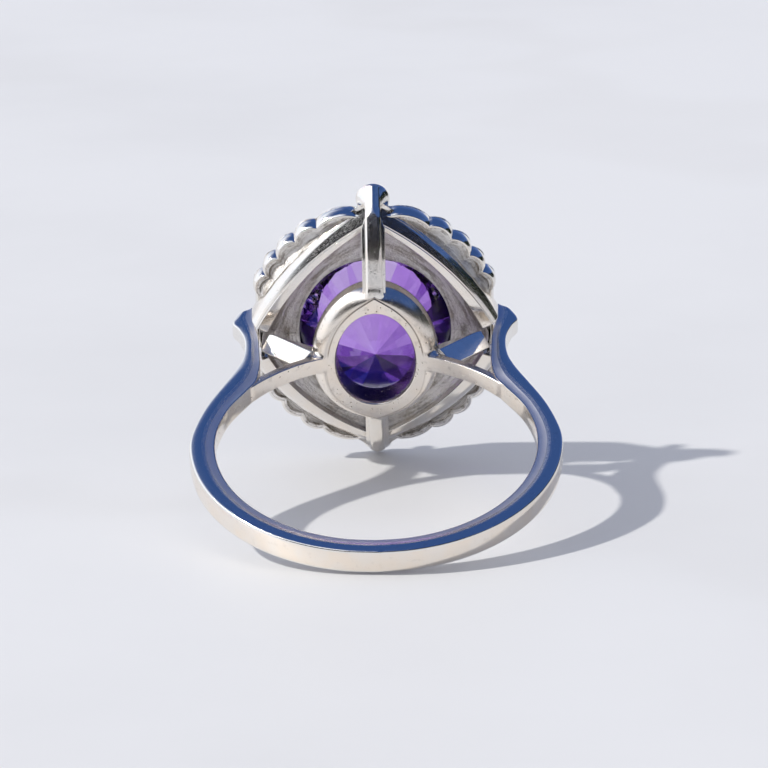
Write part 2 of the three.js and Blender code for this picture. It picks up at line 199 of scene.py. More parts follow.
def make(name, grid, material, wrap=False, replaces=(), sharp=60, marks=None, flat=False):
    """A mesh from closed loops, grid[i, j]: quads between neighbouring loops, and the two ends
    closed by a fan to their middle, or joined to each other when wrap is set."""
    n, m = grid.shape[:2]
    index = np.arange(n * m).reshape(n, m)
    rows = np.arange(n if wrap else n - 1)
    a, b = index[rows], index[(rows + 1) % n]
    quads = np.stack([a, np.roll(a, -1, 1), np.roll(b, -1, 1), b], -1).reshape(-1, 4)
    points = grid.reshape(-1, 3)
    fans = np.empty((0, 3), int)
    if not wrap:
        points = np.concatenate([points, grid[[0, -1]].mean(1)])
        first, final = index[0], index[-1]
        fans = np.concatenate([
            np.stack([np.roll(first, -1), first, np.full(m, n * m)], -1),
            np.stack([final, np.roll(final, -1), np.full(m, n * m + 1)], -1),
        ])
    triangles = np.concatenate([quads[:, [0, 1, 2]], quads[:, [0, 2, 3]], fans])
    p, q, r = (points[triangles[:, k]] for k in range(3))
    if np.einsum("ij,ij->", p, np.cross(q, r)) < 0:
        quads, fans = quads[:, ::-1], fans[:, ::-1]
    mesh = bpy.data.meshes.new(name)
    mesh.from_pydata(place(points), [], quads.tolist() + fans.tolist())
    return finish_piece(name, mesh, material, replaces, sharp, marks, n * m, flat)


def finish_piece(name, mesh, material, replaces, sharp=None, marks=None, count=0, flat=False):
    """Smooths a mesh, gives it its finish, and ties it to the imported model."""
    mesh.validate()
    for key, values in (marks or {}).items():
        full = np.zeros(len(mesh.vertices), np.float32)
        full[:count] = np.asarray(values, np.float32).reshape(-1)
        mesh.attributes.new(key, "FLOAT", "POINT").data.foreach_set("value", full)
    if not flat:
        mesh.shade_smooth()
        if sharp is not None:
            mesh.set_sharp_from_angle(angle=math.radians(sharp))
    mesh.materials.append(material)
    obj = bpy.data.objects.new(name, mesh)
    bpy.context.scene.collection.objects.link(obj)
    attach(obj, "root")
    if replaces:
        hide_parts(*replaces)
    return obj


def cut_stone(mains=16, seed=5):
    """An oval brilliant. Each main facet below is a kite whose side corners lie on a break ring;
    the ring's height puts the kite in one plane. Gives the corners, the faces and the painted
    shade of each face: random per facet, palest on the north side, darkest on the south side and
    at the two ends, standing in for light and shade inside the stone."""
    turn = np.arange(2 * mains) * math.pi / mains
    kite = math.cos(math.pi / mains)
    break_at, girdle_at, star_at, table_at = 0.46, 0.985, 0.80, 0.55

    def ring(angles, reach, z):
        x, y = reach * STONE[0] * np.sin(angles), reach * STONE[1] * np.cos(angles)
        return np.stack([x, y, np.full(len(angles), z)], -1)

    half = turn[1::2]
    low, high, culet, table = GIRDLE_Z - 0.06, GIRDLE_Z + 0.05, 8.75, 13.9
    corners = np.concatenate([
        ring(np.zeros(1), 0, culet), ring(half, break_at, culet + (low - culet) * break_at * kite),
        ring(turn, girdle_at, low), ring(turn, girdle_at, high),
        ring(half, star_at, lerp(high, table, 0.5)), ring(turn[::2], table_at, table),
    ])
    k = np.arange(mains)
    nxt = (k + 1) % mains
    b, g, h = 1, 1 + mains, 1 + 3 * mains
    c, t = 1 + 5 * mains, 1 + 6 * mains
    peak, side, beside = g + 2 * k, g + 2 * k + 1, g + 2 * nxt
    under, over = 2 * mains, h + 2 * k + 1
    groups = [
        (0 * k, b + (k - 1) % mains, peak, b + k), (peak, side, b + k), (side, beside, b + k),
        (peak, peak + under, side + under, side), (side, side + under, beside + under, beside),
        (h + 2 * k, c + k, over), (over, c + k, h + 2 * nxt), (h + 2 * k, t + k, c + k),
        (h + 2 * nxt, c + k, t + nxt), (t + k, t + nxt, c + k),
    ]
    faces = [face for group in groups for face in np.stack(group, 1).tolist()] + [(t + k[::-1]).tolist()]
    # Painted shade per face: darker to the south and at the two ends, with a random tone per facet, in place of
    # the light and shade inside the stone.
    south = (1 - np.cos(turn[::2])) / 2
    chance = np.random.default_rng(seed).random((3, mains))
    ends = np.abs(np.sin(turn[::2])) ** 3
    kite_painted_shade = 0.02 + 0.80 * south**2 + 0.34 * chance[0] + 0.12 * ends
    skirt_painted_shade = 0.04 + 0.66 * south + 0.40 * (chance[1:] - 0.4) + 0.42 * ends
    depth = np.concatenate([kite_painted_shade, skirt_painted_shade[0], skirt_painted_shade[1], np.full(mains * 7 + 1, 0.15)])
    return corners, faces, depth


def turned(profile, centre=(0, 0), stretch=(1, 1), segments=96):
    """A profile of (distance, height) carried round z: x and y are the distance times cos and sin."""
    profile = np.asarray(profile, float)
    around = np.linspace(0, 2 * math.pi, segments, endpoint=False)
    x = profile[:, :1] * np.cos(around) * stretch[0] + centre[0]
    y = profile[:, :1] * np.sin(around) * stretch[1] + centre[1]
    return np.stack([x, y, np.broadcast_to(profile[:, 1:], x.shape)], -1)


def softened(profile, radius, steps=5):
    """An open profile of (distance, height) with its inner corners rounded."""
    profile = np.asarray(profile, float)
    flat = np.concatenate([profile, np.zeros((len(profile), 1))], 1)
    loop = rounded(flat, np.r_[0, np.full(len(flat) - 2, radius), 0], steps)[:, :2]
    return loop[steps - 1: len(loop) - steps + 1]


def mirrored(grid, sign_x, sign_y):
    return grid * np.array([sign_x, sign_y, 1])


# The band in its own plane, (x, z): the line of its finger side and of its outer side.
BACK = np.radians(np.arange(-90, 1, 10.0))
INNER_KNOTS = np.concatenate([
    FINGER * np.stack([np.cos(BACK), np.sin(BACK)], 1),
    [(8.361, 1.484), (7.84, 3.172), (6.94, 4.75), (6.47, 5.56), (6.3, 6.3), (6.24, 7.1), (6.3, 8.25),
     (6.37, 9.5), (6.58, 10.6), (6.7, 11.6), (6.76, 12.3)],
])
OUTER_KNOTS = np.concatenate([
    np.stack([(FINGER + SIDE_THICK) * np.cos(BACK), (FINGER + BACK_THICK) * np.sin(BACK)], 1),
    [(9.6, 1.55), (9.03, 3.35), (8.25, 5.1), (7.85, 5.95), (7.5, 6.75), (7.24, 7.55), (7.13, 8.5),
     (7.2, 9.55), (7.5, 10.4), (7.84, 11.02), (7.56, 11.72)],
])
JOINT = 11.6 / 20  # share of the way from the back of the shank to the top of a shoulder


def band_section(q, s):
    """The band's section at q, from 0 at the back to 1 at a shoulder's top, and below 0 on the
    left. Its corners run up the north side, over the crowned outer side and down the south side.
    Half its width grows from the finger outwards. Its side faces are dished by a sine near the
    finger and rounded off by a square near the outer side. The south side of a shoulder's flare
    tapers evenly."""
    inner, outer = through(INNER_KNOTS, np.abs(q)), through(OUTER_KNOTS, np.abs(q))
    share = np.array([0, 0.14, 0.28, 0.44, 0.6, 0.8, 0.975])
    side = inner[:, None] + share[:, None] * (outer - inner)[:, None]
    reach = np.linalg.norm(side, axis=-1)
    full = s["band_half"]
    half = np.interp(reach, [FINGER, 9.15, 9.6], [s["band_inner_half"], full - 0.05, full])
    dish = 0.035 * np.sin(math.pi * np.clip(share / 0.5, 0, 1))
    round_off = 0.11 * np.clip((share - 0.55) / 0.42, 0, 1) ** 2
    half = half - dish - round_off
    taper = 0.42 * np.clip((np.abs(q) - 0.74) / 0.16, 0, 1)[:, None] * share
    crown = inner + 0.999 * (outer - inner)
    sign = np.where(q < 0, -1.0, 1.0)[:, None]

    def at(flat, y):
        return np.stack([flat[..., 0] * sign, y, flat[..., 1]], -1)

    north = at(side, half)
    top_half = (half[:, -1:] - taper[:, -1:] * [0, 1]) * np.array([0.55, -0.55])
    top = at(crown[:, None] + np.zeros((1, 2, 1)), top_half)
    corners = np.concatenate([north, top, at(side, taper - half)[:, ::-1]], 1)
    shares = np.concatenate([share, [1, 1], share[::-1]])
    return corners, shares


def band_piece(name, q, s, material, cap):
    """One length of the band, with marks that say how far across and along it each point lies."""
    corners, shares = band_section(q, s)
    steps = 5
    side_soft = np.array([0.05, 0.08, 0.1, 0.1, 0.1, 0.12, s["edge"], 0.35])
    soft = np.concatenate([side_soft, side_soft[::-1]])
    loops = rounded(corners, soft, steps)
    across = np.broadcast_to(np.repeat(shares, steps), loops.shape[:2])
    across = np.minimum(across, lerp(1.0, 0.96, np.clip((np.abs(q) - 0.45) / 0.15, 0, 1))[:, None])
    steps_along = np.linalg.norm(np.diff(loops.mean(1), axis=0), axis=-1)
    along = np.broadcast_to(np.r_[0, np.cumsum(steps_along)][:, None], loops.shape[:2])
    if cap:
        loops = domed(loops, 0.12)
        extra = (len(loops) - len(across)) // 2
        pad = ((extra, extra), (0, 0))
        across, along = np.pad(across, pad, "edge"), np.pad(along, pad, "edge")
    return make(name, loops, material, replaces=(name,), marks={"across": across, "along": along})


def finger_top(x):
    """Height of the finger hole's top at x: an ellipse."""
    return HOLE_TOP * np.sqrt(np.maximum(1 - (x / FINGER) ** 2, 0))


def on_oval(half, degrees):
    """Points of an oval with these half axes, at angles from +y towards +x."""
    turn = np.radians(degrees)
    reach = 1 / np.hypot(np.sin(turn) / half[0], np.cos(turn) / half[1])
    return np.stack([reach * np.sin(turn), reach * np.cos(turn)], -1)


def scallop_line(inset, rise, per=28):
    """A quarter of the scalloped outline: between neighbouring valleys on the oval the line bows
    out by rise times 4 f (1 - f), where f runs from valley to valley."""
    half = HALO_HALF - inset
    valleys = on_oval(half, SCALLOPS)
    a, b = valleys[:-1, None], valleys[1:, None]
    f = np.linspace(0, 1, per, endpoint=False)[None, :, None]
    step = b - a
    out = np.stack([-step[..., 1], step[..., 0]], -1)
    out = out / np.linalg.norm(out, axis=-1, keepdims=True)
    out = np.where((out * a).sum(-1, keepdims=True) < 0, -out, out)
    line = a + step * f + out * rise * (4 * f * (1 - f)) ** 0.8
    ends = np.stack([np.linspace(0, valleys[0, 0], 14, endpoint=False), np.full(14, half[1])], -1)
    ends[:, 1] = half[1] - (half[1] - valleys[0, 1]) * (ends[:, 0] / valleys[0, 0]) ** 2
    sides = np.stack([np.full(22, valleys[-1, 0]), np.linspace(valleys[-1, 1], 0, 22)], -1)
    return np.concatenate([ends, line.reshape(-1, 2), sides])


def whole_round(quarter):
    """Mirrors a quarter line, from +y to +x, into a closed one."""
    right = np.concatenate([quarter, quarter[-2::-1] * [1, -1]])
    return np.concatenate([right, right[-2:0:-1] * [-1, 1]])


def rail_line(offset, n, first=0.0):
    """The plan of a rail's edge: an arc from the rib, x near 0, to the shoulder that bows out by
    RAIL_SAG from its chord, moved in by offset. Gives the points and the inward direction."""
    start, end = np.array([0.0, APEX_Y]), np.array(RAIL_END)
    chord = np.linalg.norm(end - start)
    radius = chord**2 / (8 * RAIL_SAG) + RAIL_SAG / 2
    out = np.array([start[1] - end[1], end[0]]) / chord
    centre = (start + end) / 2 + out * (RAIL_SAG - radius)
    spread = math.asin(chord / 2 / radius)
    middle = math.atan2(out[1], out[0])
    turn = np.linspace(middle + spread * (1 - 2 * first), middle - spread, n)
    ray = np.stack([np.cos(turn), np.sin(turn)], -1)
    return centre + ray * (radius - np.asarray(offset).reshape(-1, 1)), -ray, centre, radius


def rail_height(x):
    """Height of a rail's crest at x: it climbs evenly from the shoulder to the rib."""
    return RAIL_Z + RAIL_CLIMB * (RAIL_END[0] - x)


def rail_loops(s, n=170):
    """A rail's section along its arc: from the inner edge a level ledge, then a slope and a
    rounded crest that fall away to the recess. The ledge widens and the slope shrinks towards the
    shoulder. The outer side flares towards the rib by an exponential, along the rib's own climb."""
    first = 0.03
    edge, inward, _, _ = rail_line(0, n, first)
    t = np.linspace(first, 1, n)
    width = s["rail_width"]
    ledge = lerp(0.30, 0.64, t**1.3)
    slope = (width - ledge) * lerp(0.85, 0.6, t)
    fall = slope * lerp(1.0, 0.8, t)
    flare = 0.26 * np.exp(-(t - first) * 9)
    z = rail_height(edge[:, 0])
    step = width - ledge
    outer = np.minimum(z + fall + 0.34 + 0.9 * flare, HALO_FLOOR - 0.02)

    def at(offset, height):
        flat = edge + inward * np.broadcast_to(offset, t.shape)[:, None]
        return np.concatenate([flat, np.broadcast_to(height, t.shape)[:, None]], 1)

    corners = np.stack([
        at(-flare - 0.05, HALO_FLOOR), at(-flare - 0.03, outer),
        at(step - slope - 0.6 * flare, z + fall + 0.4 * flare), at(step - 0.05, z + 0.05),
        at(step, z + 0.045), at(step + 0.03, z), at(width, z + 0.02), at(width, HALO_FLOOR),
    ], 1)
    return rounded(corners, np.array([0.02, 0.16, 0.13, 0.03, 0.02, 0.03, 0.06, 0.02]), 6)


def rib_loops(s, n=220):
    """A rib's section along its path in the plane x = 0, from the gallery base to the head's tip:
    a broad face between two lower ledges, closing to a half round above the bend. Its foot widens
    into the base by an exponential."""
    knots = [(3.70, 8.52), (3.98, 8.325), (4.6, 8.60), (5.3, 8.93), (6.0, 9.28), (6.6, 9.62), (7.2, 10.05),
             (7.7, 10.45), (8.06, 10.76), (8.42, 11.22), (8.90, 11.87)]
    path = through(knots, np.linspace(0, 1, n))
    along = np.gradient(path, axis=0)
    along /= np.linalg.norm(along, axis=1, keepdims=True)
    inside = np.stack([-along[:, 1], along[:, 0]], -1)
    t = np.linspace(0, 1, n)
    tip = np.clip((t - 0.72) / 0.12, 0, 1)
    foot = np.exp(-(path[:, 0] - 3.9) / 0.42)
    half = s["rib_half"]
    face = half * lerp(0.66, 0.2, tip) + 0.10 * foot
    shoulder = half - 0.02 + 0.16 * foot
    ledge = shoulder + lerp(0.2, 0.0, np.clip((t - 0.62) / 0.1, 0, 1)) * (1 - foot)
    step = lerp(0.10, 0.22, tip) + 0.14 * foot
    low = step + lerp(0.13, 0.3, tip)
    deep = lerp(0.85, 0.36, np.clip((t - 0.72) / 0.28, 0, 1))

    def at(x, down):
        flat = path + inside * np.broadcast_to(down, t.shape)[:, None]
        return np.concatenate([np.broadcast_to(x, t.shape)[:, None], flat], 1)

    left = [at(-ledge, deep), at(-ledge, low + 0.02), at(-shoulder, low), at(-shoulder, step), at(-face, 0.0)]
    right = [at(face, 0.0), at(shoulder, step), at(shoulder, low), at(ledge, low + 0.02), at(ledge, deep)]
    soft = np.stack([0.03 + 0 * t, 0.04 + 0 * t, 0.03 + 0 * t, lerp(0.05, 0.16, tip), lerp(0.1, 0.2, tip)], 1)
    return rounded(np.stack(left + right, 1), np.concatenate([soft, soft[:, ::-1]], 1), 6)


def lerp(a, b, t):
    return a + (b - a) * t


def base_loops(s, n=480):
    """The gallery base: an oval ring whose face follows the finger. share runs from its opening to
    its outer edge. The face is level up to a fine groove that comes to a point under each rib.
    Past it the ring falls away by a power of the share, and rounds over at its edge. The arms to
    the arches stay level. Also gives a painted shade for each point: dark along the groove and on
    the opening's wall."""
    turn = np.linspace(0, 2 * math.pi, n, endpoint=False)[:, None]
    c, si = np.cos(turn), np.sin(turn)
    share = np.linspace(0, 1, 84)
    x = (BASE_HOLE[0] + share * BASE_WALL[0]) * c
    y = (BASE_HOLE[1] + share * BASE_WALL[1]) * si
    arm = np.exp(-((y / 0.55) ** 6))
    from_pole = np.degrees(np.abs(np.arctan2(c, np.abs(si))))
    south = si < 0
    point = 0.42 * (1 - 0.45 * south) * np.exp(-from_pole / 15)
    groove_at = lerp(0.36, 0.54, np.clip((0.15 - si) / 0.7, 0, 1)) + point
    f = np.clip((share - groove_at) / (1 - groove_at), 0, 1)
    bevel = 0.04 * np.clip(f / 0.06, 0, 1)
    rounding = 1 - np.sqrt(1 - (0.98 * f**3) ** 2)
    fall = (bevel + s["base_fall"] * (0.82 * f**1.7 + 0.18 * rounding)) * (1 - arm)
    groove = 0.05 * np.exp(-(((share - groove_at) / 0.022) ** 2)) * (1 - arm)
    inner_edge = 0.20 * np.clip(1 - share / 0.09, 0, 1) ** 2.2
    z = finger_top(x) + fall + groove + inner_edge + 0.02
    top = np.stack([x, y, z], -1)
    deep = s["base_deep"]

    def wall(part, offset, depth):
        wx = (BASE_HOLE[0] + part * BASE_WALL[0] + offset) * c
        wy = (BASE_HOLE[1] + part * BASE_WALL[1] + offset) * si
        return np.concatenate([wx, wy, finger_top(wx) + depth], 1)[:, None]

    rim = fall[:, -1:] + 0.05
    outside = [wall(1, 0.0, lerp(rim, deep - 0.1, k)) for k in np.linspace(0.1, 1, 6)]
    outside += [wall(1, -0.03, deep - 0.03), wall(1, -0.1, deep)]
    inside = [wall(0, 0.1, deep), wall(0, 0.03, deep - 0.03)]
    inside += [wall(0, 0.0, depth) for depth in np.linspace(deep - 0.1, 0.34, 8)]
    loops = np.concatenate([top] + outside + inside, 1)
    # Painted shade: the groove line, lighter to the south, and the opening's wall are marked dark here, and the
    # finish darkens them by it.
    line = np.exp(-(((share - groove_at) / 0.03) ** 2)) * (1 - arm) * (1 - 0.6 * south)
    dark = np.concatenate([line, np.zeros((n, len(outside))), np.full((n, len(inside)), 0.9)], 1)
    return loops, dark


def arch_loops(s, n=90):
    """An inner arch: a flat strip carried along the finger hole's top from inside the shoulder,
    where it lies a little deeper, to the base."""
    turn = np.radians(np.linspace(33.0, 70.5, n))
    base = 0.006 + 0.14 * np.clip(1 - (turn - turn[0]) / math.radians(7), 0, 1)
    h = lerp(0.54, s["arch_half"], np.clip((turn - turn[0]) / math.radians(15), 0, 1))

    def at(y, depth):
        x = (FINGER + depth) * np.cos(turn)
        z = (HOLE_TOP + depth) * np.sin(turn)
        return np.stack([x, y, z], -1)

    k = base + s["arch_thick"]
    corners = np.stack([
        at(h - 0.02, base), at(h, base + 0.1), at(h, k), at(-h, k), at(-h, base + 0.1), at(-h + 0.02, base),
    ], 1)
    return rounded(corners, np.array([0.04, 0.04, 0.09, 0.09, 0.04, 0.04]), 5)


def halo_wall_loops(s):
    """The scalloped wall: at each point of the outline, a section from the recess over a smooth
    rim, round a full crown and down the outer side to the front."""
    rise = s["scallop_rise"]
    insets = (0.31, 0.19, 0.10, -0.01, -0.04, 0.05, 0.16)
    lines = {inset: whole_round(scallop_line(inset, rise)) for inset in insets}

    def at(inset, z):
        flat = lines[inset]
        return np.concatenate([flat, np.full((len(flat), 1), z)], 1)

    corners = np.stack([
        at(0.31, HALO_FLOOR + 0.05), at(0.31, HALO_BACK + 0.05), at(0.19, HALO_BACK - 0.02),
        at(0.10, HALO_BACK - 0.02), at(-0.01, HALO_BACK + 0.14), at(-0.04, HALO_BACK + 0.42),
        at(0.05, HALO_FRONT - 0.08), at(0.16, HALO_FRONT + 0.012), at(0.31, HALO_FRONT + 0.012),
    ], 1)
    return rounded(corners, np.array([0.02, 0.07, 0.07, 0.08, 0.12, 0.2, 0.12, 0.06, 0.02]), 5)


def rail_reach(degrees, offset):
    """How far the rail's edge, moved in by offset, lies from the middle at each angle from +y."""
    _, _, centre, radius = rail_line(0, 2)
    turn = np.radians(degrees)
    ray = np.stack([np.sin(turn), np.cos(turn)], -1)
    lean = ray @ centre
    return lean + np.sqrt(lean**2 - centre @ centre + (radius - offset) ** 2)


def trough(s, n=150, m=36):
    """The cast recess of one quarter, between a rail and the scalloped wall: heights sag between
    the two edges by a parabola. The sheet is closed by a copy of itself a little deeper."""
    degrees = np.linspace(3.2, 83, n)
    line = scallop_line(0.29, s["scallop_rise"])
    angle = np.degrees(np.arctan2(line[:, 0], line[:, 1]))
    r_out = np.interp(degrees, angle, np.hypot(line[:, 0], line[:, 1])) + 0.05
    r_in = np.minimum(rail_reach(degrees, 0.1), r_out - 0.02)
    v = np.linspace(0, 1, m)
    r = r_in[:, None] + (r_out - r_in)[:, None] * v
    turn = np.radians(degrees)[:, None]
    x, y = r * np.sin(turn), r * np.cos(turn)
    start = np.minimum(rail_height(x[:, :1]) + 0.45, 11.2)
    z = lerp(start, HALO_BACK + 0.16, v) + 0.9 * v * (1 - v)
    return sheet(np.stack([x, y, np.minimum(z, HALO_FLOOR - 0.02)], -1), 0.12)


def spandrel(s, n=120, m=30):
    """The cast plate between a rail's ledge and the centre stone's oval: a shallow scoop."""
    degrees = np.linspace(3.5, 90, n)
    r_out = np.minimum(rail_reach(degrees, s["rail_width"] - 0.06), 6.2 / np.sin(np.radians(degrees)))
    oval = on_oval(STONE * 0.94, degrees)
    r_in = np.hypot(oval[:, 0], oval[:, 1])
    r_out = np.maximum(r_out, r_in + 0.02)
    v = np.linspace(0, 1, m)
    r = r_in[:, None] + (r_out - r_in)[:, None] * v
    turn = np.radians(degrees)[:, None]
    x, y = r * np.sin(turn), r * np.cos(turn)
    end = np.minimum(rail_height(x[:, -1:]) + 0.4, 11.0)
    z = lerp(11.02, end, v) + 0.5 * v * (1 - v)
    return sheet(np.stack([x, y, np.minimum(z, HALO_FLOOR - 0.03)], -1), 0.1)


def flow_marks(grid):
    """Distances in millimetres along and across a sheet, for streaks that follow it."""
    n, m = grid.shape[:2]
    along = np.r_[0, np.cumsum(np.linalg.norm(np.diff(grid[:, m // 4], axis=0), axis=-1))]
    across = np.r_[0, np.cumsum(np.linalg.norm(np.diff(grid[n // 3], axis=0), axis=-1))]
    return {"along": np.broadcast_to(along[:, None], (n, m)), "across": np.broadcast_to(across, (n, m))}


def sheet(top, thick):
    """A sheet closed by a copy of itself, thick further out along z: each row is one closed loop."""
    under = top[:, ::-1] + np.array([0, 0, thick])
    return np.concatenate([top, under], 1)


# ---- shader maths ----
class Value:
    """A number socket. Python operators on it add Math nodes."""

    def __init__(self, tree, socket):
        self.tree, self.socket = tree, socket

    def math(self, operation, other=0.0, swap=False, clamp=False):
        values = [other, self] if swap else [self, other]
        settings = {"operation": operation, "use_clamp": clamp}
        return node(self.tree, "ShaderNodeMath", settings, dict(enumerate(values)))

    def __add__(self, other): return self.math("ADD", other)
    def __radd__(self, other): return self.math("ADD", other)
    def __sub__(self, other): return self.math("SUBTRACT", other)
    def __rsub__(self, other): return self.math("SUBTRACT", other, swap=True)
    def __mul__(self, other): return self.math("MULTIPLY", other)
    def __rmul__(self, other): return self.math("MULTIPLY", other)
    def clamp(self): return self.math("ADD", 0.0, clamp=True)

    def between(self, low, high):
        """0 below low, 1 above high, and a smooth step in between."""
        settings = {"interpolation_type": "SMOOTHSTEP"}
        return node(self.tree, "ShaderNodeMapRange", settings, {0: self, 1: low, 2: high, 3: 0.0, 4: 1.0})


def node(tree, kind, settings, inputs, out=0):
    """Adds a node, sets its settings, then its sockets from numbers or links, and wraps an output."""
    made = tree.nodes.new(kind)
    for key, value in settings.items():
        if key == "stops":
            ramp = made.color_ramp
            while len(ramp.elements) < len(value):
                ramp.elements.new(1.0)
            for element, (at, colour) in zip(ramp.elements, value):
                element.position, element.color = at, (*colour, 1.0)
        else:
            setattr(made, key, value)
    for key, value in inputs.items():
        socket = made.inputs[key]
        if isinstance(value, Value):
            tree.links.new(value.socket, socket)
        elif isinstance(value, (tuple, list)) and len(value) == 3 and socket.type == "RGBA":
            socket.default_value = (*value, 1.0)
        else:
            socket.default_value = value
    return Value(tree, made.outputs[out])


def mix(tree, factor, a, b):
    """Mixes two colours."""
    return node(tree, "ShaderNodeMix", {"data_type": "RGBA"}, {0: factor, 6: a, 7: b}, out=2)


def parts(vector):
    """The x, y and z of a vector."""
    made = vector.tree.nodes.new("ShaderNodeSeparateXYZ")
    vector.tree.links.new(vector.socket, made.inputs[0])
    return [Value(vector.tree, out) for out in made.outputs]


def in_mm(tree, turn=(0, 0, 0), stretch=(1, 1, 1)):
    """Object coordinates in millimetres, turned and stretched."""
    place_of = node(tree, "ShaderNodeTexCoord", {}, {}, out=3)
    scale = tuple(1 / (1000 * k) for k in stretch)
    return node(tree, "ShaderNodeMapping", {"vector_type": "TEXTURE"}, {0: place_of, 2: turn, 3: scale})


def noise(tree, at, scale, detail=3.0, rough=0.5):
    inputs = {"Vector": at, "Scale": scale, "Detail": detail, "Roughness": rough}
    return node(tree, "ShaderNodeTexNoise", {}, inputs)


def attribute(tree, name):
    """A number that the mesh carries by this name, or 0 where it carries none."""
    return node(tree, "ShaderNodeAttribute", {"attribute_name": name}, {}, out=2)


def cells(tree, at, scale):
    """The distance to the nearest of many scattered points."""
    return node(tree, "ShaderNodeTexVoronoi", {"feature": "F1"}, {"Vector": at, "Scale": scale})


def start(name):
    """A new material's node tree, with its surface shader."""
    material = bpy.data.materials.new(name)
    material.use_nodes = True
    tree = material.node_tree
    return material, tree, tree.nodes["Principled BSDF"]


def join(shader, **links):
    for key, value in links.items():
        socket = shader.inputs[key.replace("_", " ")]
        if isinstance(value, Value):
            value.tree.links.new(value.socket, socket)
        else:
            socket.default_value = value


def bump(tree, height, strength, distance):
    return node(tree, "ShaderNodeBump", {}, {"Height": height, "Strength": strength, "Distance": distance})


def scratches(tree, turn, width):
    """Thin dark lines: a noise stretched along one direction and cut near its middle."""
    at = in_mm(tree, turn, (1, 1, 1))
    x, y, z = parts(at)
    thin = node(tree, "ShaderNodeCombineXYZ", {}, {0: x * 9.0, 1: y * 0.7, 2: z * 9.0})
    field = noise(tree, thin, 1.3, 2.0)
    far = (field - 0.5).math("ABSOLUTE")
    return 1 - far.between(0.0, width)


def gold_finish(name, colours, wear=0.0, dull=0.05, pits=0.0, banded=False):
    """Polished white gold: cloudy colour and gloss, crossed hairline scratches and, where wear or
    pits ask for it, small pits, stains and painted shade in the gallery base's groove and on its
    opening wall. A banded one is duller and streaked near the finger, with a painted pale lavender
    reflection there, and rubbed on its finger side and its outer side."""
    material, tree, shader = start(name)
    at = in_mm(tree)
    cloud = noise(tree, at, 0.9, 3.0)
    fine = noise(tree, at, 14.0, 3.0)
    lines = scratches(tree, (0.3, 0.2, 0.9), 0.012) * 0.6 + scratches(tree, (1.1, 0.5, 2.2), 0.008) * 0.4
    worn = (cloud.between(0.30, 0.72) * 0.45 + wear * 0.6).clamp() if wear else cloud.between(0.35, 0.7) * 0.3
    rough = dull + cloud * 0.03 + fine * 0.02 + lines * 0.10 + wear * 0.05
    height = fine * 0.12 + cloud * 0.6 - lines * 0.25
    if banded:
        across = attribute(tree, "across")
        along = attribute(tree, "along")
        rubbed = (1 - across.between(0.005, 0.05)) + across.between(0.97, 0.995)
        worn = rubbed * (0.5 + cloud.between(0.30, 0.72) * 0.5)
        strip = node(tree, "ShaderNodeCombineXYZ", {}, {0: along * 0.12, 1: across * 26.0, 2: 0.0})
        streak = noise(tree, strip, 1.0, 3.0, 0.55)
        zone = across.between(0.04, 0.12) * (1 - across.between(0.36, 0.52))
        rough = rough + zone * (0.20 + streak * 0.22)
        height = height + zone * streak * 0.5
    colour = mix(tree, worn, tuple(colours.gold), tuple(colours.worn))
    if pits:
        cell = cells(tree, at, 3.4)
        sparse = noise(tree, at, 1.1, 2.0).between(0.46, 0.58)
        hole = (1 - cell.between(0.08, 0.22)) * sparse * pits
        hole = hole * (1 - across.between(0.005, 0.05)) if banded else hole
        height = height - hole * 2.0
        rough = rough + hole * 0.25
        colour = mix(tree, hole * 0.6, colour, (0.30, 0.24, 0.18))
        # The "groove" mark is painted shade in the base's groove and on its opening wall; the noise added to it
        # is real staining, so this brown mix is partly painted shade and partly stain.
        groove = attribute(tree, "groove")
        stain = groove + noise(tree, at, 3.1, 3.0).between(0.58, 0.72) * wear * 0.35
        colour = mix(tree, stain.clamp() * 0.75, colour, (0.26, 0.21, 0.17))
    if banded:
        # Painted reflection: a pale lavender mixed into the dull strip near the finger, where the sky's pale
        # reflection shows.
        colour = mix(tree, zone * 0.6, colour, (0.80, 0.79, 0.86))
    join(shader, Metallic=1.0, Base_Color=colour, Roughness=rough, Normal=bump(tree, height, 0.35, 0.00002))
    return material


def cast_finish(name, colours, streaked):
    """White gold left as cast: sandy and stained, with polish only on its high spots. A streaked
    one has lines that follow the sheet's own length."""
    material, tree, shader = start(name)
    at = in_mm(tree)
    if streaked:
        along = attribute(tree, "along")
        across = attribute(tree, "across")
        wander = noise(tree, at, 1.1, 2.0) * 0.14
        strip = node(tree, "ShaderNodeCombineXYZ", {}, {0: along * 0.35, 1: (across + wander) * 3.4, 2: 0.0})
        flow = noise(tree, strip, 1.0, 4.0, 0.62)
    else:
        flow = noise(tree, at, 2.4, 4.0, 0.6)
    sand = noise(tree, at, 8.0, 5.0, 0.72)
    grains = cells(tree, at, 9.0)
    stain = noise(tree, at, 0.9, 3.0).between(0.40, 0.66)
    tone = (flow * 0.8 + sand * 0.3).between(0.38, 0.62)
    colour = mix(tree, tone, tuple(0.8 * k for k in colours.cast), (0.92, 0.90, 0.88))
    colour = mix(tree, stain * 0.4 * (1 - tone * 0.6), colour, (0.42, 0.34, 0.25))
    rough = 0.24 + sand * 0.22 + (1 - tone) * 0.14
    height = sand * 1.0 + flow * 2.0 + grains * 0.5
    join(shader, Metallic=1.0, Base_Color=colour, Roughness=rough, Normal=bump(tree, height, 0.7, 0.00008))
    return material


